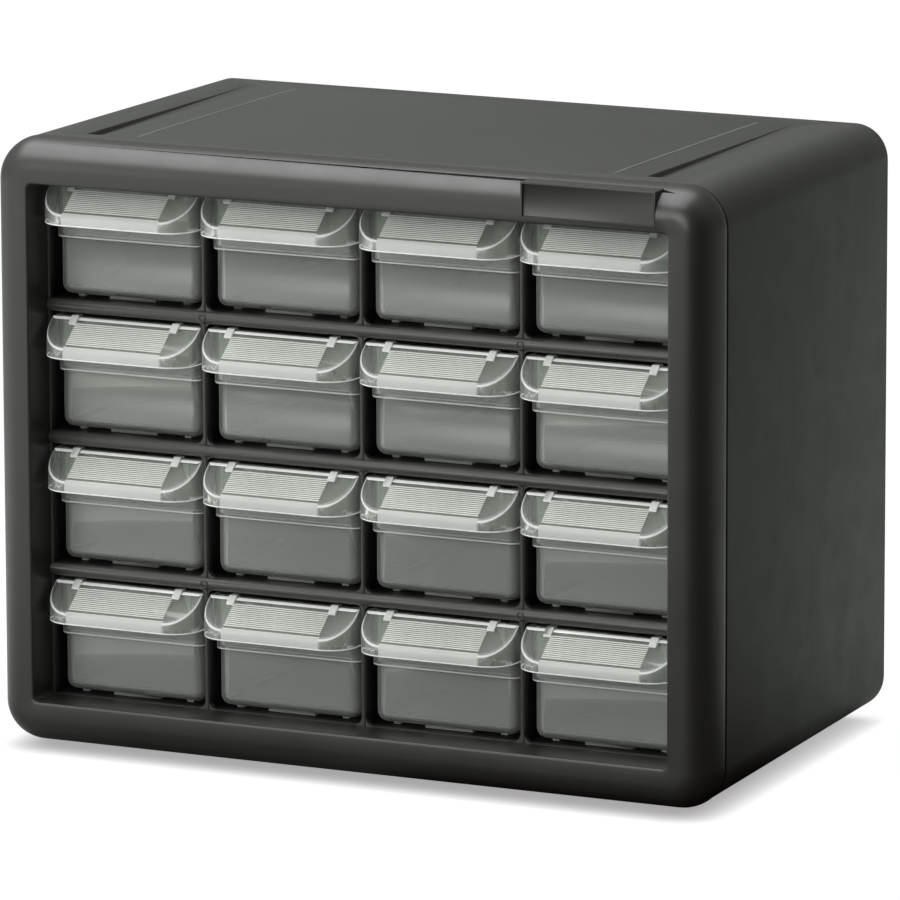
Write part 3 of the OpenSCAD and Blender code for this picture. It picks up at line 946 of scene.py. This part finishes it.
def dark_side(nodes, links, way, pale):
    """A colour that turns dark and warm to the right of the camera, the side of
    the studio that shows as a dark band in the bezel's right shoulder."""
    flat = nodes.new("ShaderNodeVectorMath")
    flat.operation = "MULTIPLY"
    flat.inputs[1].default_value = (1, 1, 0)
    links.new(way, flat.inputs[0])
    aim = nodes.new("ShaderNodeVectorMath")
    aim.operation = "NORMALIZE"
    links.new(flat.outputs["Vector"], aim.inputs[0])
    towards = nodes.new("ShaderNodeVectorMath")
    towards.operation = "DOT_PRODUCT"
    towards.inputs[1].default_value = DARK_SIDE
    links.new(aim.outputs["Vector"], towards.inputs[0])
    share = nodes.new("ShaderNodeMapRange")
    share.interpolation_type = "SMOOTHSTEP"
    share.inputs["From Min"].default_value = 0.62
    share.inputs["From Max"].default_value = 0.90
    links.new(towards.outputs["Value"], share.inputs["Value"])
    return shade_between(nodes, links, share.outputs["Result"], pale, (0.035, 0.020, 0.016))


def pale_floor():
    """To the camera the floor is white with a soft shadow close round the cabinet.
    The light and the reflections that it sends up fade from the left to the right."""
    material, nodes, links, shader = new_material("pale floor")
    place = nodes.new("ShaderNodeTexCoord").outputs["Object"]
    soft = spread(nodes, links, noise(nodes, links, place, 3, 2), 0, 1)
    tone = shade_between(nodes, links, soft, (0.86, 0.86, 0.86), (0.88, 0.88, 0.88))
    links.new(tone, shader.inputs["Base Color"])
    shader.inputs["Roughness"].default_value = 0.9
    close_by = nodes.new("ShaderNodeAmbientOcclusion")
    close_by.inputs["Distance"].default_value = 0.009
    close_by.samples = 16
    open_air = nodes.new("ShaderNodeMapRange")
    open_air.inputs["From Min"].default_value = 0.1
    open_air.inputs["To Min"].default_value = 0.40
    open_air.inputs["To Max"].default_value = 1.04
    links.new(close_by.outputs["AO"], open_air.inputs["Value"])
    white = nodes.new("ShaderNodeEmission")
    links.new(open_air.outputs["Result"], white.inputs["Strength"])
    seen = mix_shaders(nodes, links, 0.94, shader.outputs["BSDF"], white.outputs["Emission"])
    bounce = nodes.new("ShaderNodeBsdfDiffuse")
    axes = nodes.new("ShaderNodeSeparateXYZ")
    links.new(place, axes.inputs["Vector"])
    leftwards = nodes.new("ShaderNodeMapRange")
    leftwards.inputs["From Min"].default_value = -0.08
    leftwards.inputs["From Max"].default_value = -0.42
    links.new(axes.outputs["X"], leftwards.inputs["Value"])
    fade = shade_between(nodes, links, leftwards.outputs["Result"],
                         (0.10, 0.105, 0.095), (1.0, 1.0, 1.0))
    behind = nodes.new("ShaderNodeMapRange")
    behind.inputs["From Min"].default_value = -0.1
    behind.inputs["From Max"].default_value = 0.1
    links.new(axes.outputs["Y"], behind.inputs["Value"])
    sent = shade_between(nodes, links, behind.outputs["Result"], fade, (0.42, 0.45, 0.41))
    links.new(dark_side(nodes, links, place, sent), bounce.inputs["Color"])
    path = nodes.new("ShaderNodeLightPath")
    links.new(mix_shaders(nodes, links, path.outputs["Is Camera Ray"],
                          bounce.outputs["BSDF"], seen),
              nodes["Material Output"].inputs["Surface"])
    return material


def studio_world():
    """Soft light all round, most of it from the front and the left, with a
    background that is white to the camera and pale in the reflections."""
    world = bpy.data.worlds.new("studio")
    bpy.context.scene.world = world
    world.use_nodes = True
    nodes, links = world.node_tree.nodes, world.node_tree.links
    way = nodes.new("ShaderNodeTexCoord").outputs["Generated"]
    round_about = nodes["Background"]
    links.new(dark_side(nodes, links, way, (0.97, 1.0, 0.96)), round_about.inputs["Color"])
    towards = nodes.new("ShaderNodeVectorMath")
    towards.operation = "DOT_PRODUCT"
    towards.inputs[1].default_value = (-0.20, -0.86, 0.47)
    links.new(way, towards.inputs[0])
    level = nodes.new("ShaderNodeMapRange")
    level.interpolation_type = "SMOOTHSTEP"
    level.inputs["From Min"].default_value = -0.1
    level.inputs["From Max"].default_value = 0.95
    level.inputs["To Min"].default_value = 0.30
    level.inputs["To Max"].default_value = 1.2
    links.new(towards.outputs["Value"], level.inputs["Value"])
    links.new(level.outputs["Result"], round_about.inputs["Strength"])
    white = nodes.new("ShaderNodeBackground")
    white.inputs["Color"].default_value = (1, 1, 1, 1)
    path = nodes.new("ShaderNodeLightPath")
    links.new(mix_shaders(nodes, links, path.outputs["Is Camera Ray"],
                          round_about.outputs["Background"], white.outputs["Background"]),
              nodes["World Output"].inputs["Surface"])


def set_studio():
    """A pale floor under soft light, with a white background."""
    bpy.ops.object.select_all(action="DESELECT")
    bpy.ops.mesh.primitive_plane_add(size=4)
    floor = bpy.context.object
    floor.name = "studio_floor"
    floor.data.materials.append(pale_floor())
    studio_world()
    add_softbox("overhead softbox", (-0.45, 0.0, 1.75), (0, 0, 0.1), (1.9, 1.9), 46)
    add_softbox("front softbox", (-0.25, -2.7, 1.0), (0, 0, 0.1), (2.0, 1.4), 34)
    bpy.context.scene.view_settings.view_transform = "Standard"


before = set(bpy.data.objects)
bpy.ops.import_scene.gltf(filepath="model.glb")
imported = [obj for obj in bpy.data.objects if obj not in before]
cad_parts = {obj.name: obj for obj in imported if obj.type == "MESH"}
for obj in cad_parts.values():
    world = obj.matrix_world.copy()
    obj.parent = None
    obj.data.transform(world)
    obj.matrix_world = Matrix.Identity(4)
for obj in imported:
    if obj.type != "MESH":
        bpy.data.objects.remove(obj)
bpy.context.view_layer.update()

housing = moulded_plastic("matte dark grey housing", (0.024, 0.026, 0.023), 0.50, 0.45, 0.05)
bezel_finish = moulded_plastic("satin dark grey bezel", (0.020, 0.021, 0.019), 0.36, 0.35, 0.03)
# A lighter tone for a painted highlight along the tops of the housing's creases.
crease_highlight_tone = moulded_plastic("painted highlight on the housing's creases", (0.085, 0.087, 0.082),
                              0.45, 0.45, 0.02)
# A lighter tone for a painted highlight on the edges round the pad's panel.
pad_rim_highlight_tone = moulded_plastic("painted highlight on the pad's rim", (0.16, 0.165, 0.155), 0.45, 0.35, 0.02)
# The grid's tone carries a painted shade behind the dividers' noses.
grid_finish = moulded_plastic("satin dark grey grid", (0.036, 0.035, 0.034), 0.38, 0.5, 0.03,
                              painted_shade_behind=DIVIDER_FRONT_Y + 0.8)
clear_tone, paler_tone = (0.80, 0.83, 0.79), (0.92, 0.93, 0.91)
bin_finishes = [
    clear_plastic("clear bin wall", clear_tone, 0.20, 0.75, 0.30),
    clear_plastic("clear bin front", clear_tone, 0.22, 0.75, 0.30),
    clear_plastic("clear bin hood", clear_tone, 0.17, 0.36, 0.26),
    clear_plastic("clear bin slope", clear_tone, 0.07, 0.50, 0.35, skin=1.22),
    # The lip's paler, hazier finish is painted light, standing in for the light that the hood
    # leads into it.
    clear_plastic("clear bin lip", paler_tone, 0.60, 0.90, 0.45),
    clear_plastic("clear bin label ribs", paler_tone, 0.90, 0.95, 0.40),
    # A lighter, hazier finish for a pale painted highlight on the ledge and beside the slope.
    clear_plastic("clear bin ledge with painted highlight", (0.94, 0.95, 0.94), 0.86, 1.0, 0.30),
    # The lightest finish, a painted highlight with a painted glow for the brightest edges.
    clear_plastic("clear bin edge with painted highlight and glow", (0.98, 0.99, 0.98), 1.0, 1.0, 0.20, painted_edge_glow=0.30),
]

set_camera()
bezel = make_bezel()
take_finishes(bezel, [bezel_finish, pad_rim_highlight_tone])
# Painted highlight: the pad's rim edges take the lighter finish.
paint(bezel, 1, on_pad_edge)
dress(bezel, "cabinet", "front_bezel")
dress(make_shell([housing, crease_highlight_tone]), "cabinet", "outer_shell")
grid = {f"shelf_{number}": make_shelf(number) for number in (1, 2, 3)}
for number, word in ((1, "left"), (2, "centre"), (3, "right")):
    grid[f"divider_{word}"] = make_divider(number, f"divider_{word}")
for side, word in ((-1, "left"), (1, "right")):
    grid[f"side_guide_{word}"] = make_side_guide(side, f"side_guide_{word}")
grid["bay_floor"] = make_liner("bay_floor", OPENING_LOW - LINER_T, OPENING_LOW)
grid["bay_ceiling"] = make_liner("bay_ceiling", CEILING_Z, CEILING_Z)
for node, plate in grid.items():
    take_finishes(plate, [grid_finish])
    dress(plate, "cabinet", node)
place_bins(make_bin(bin_finishes))
set_studio()
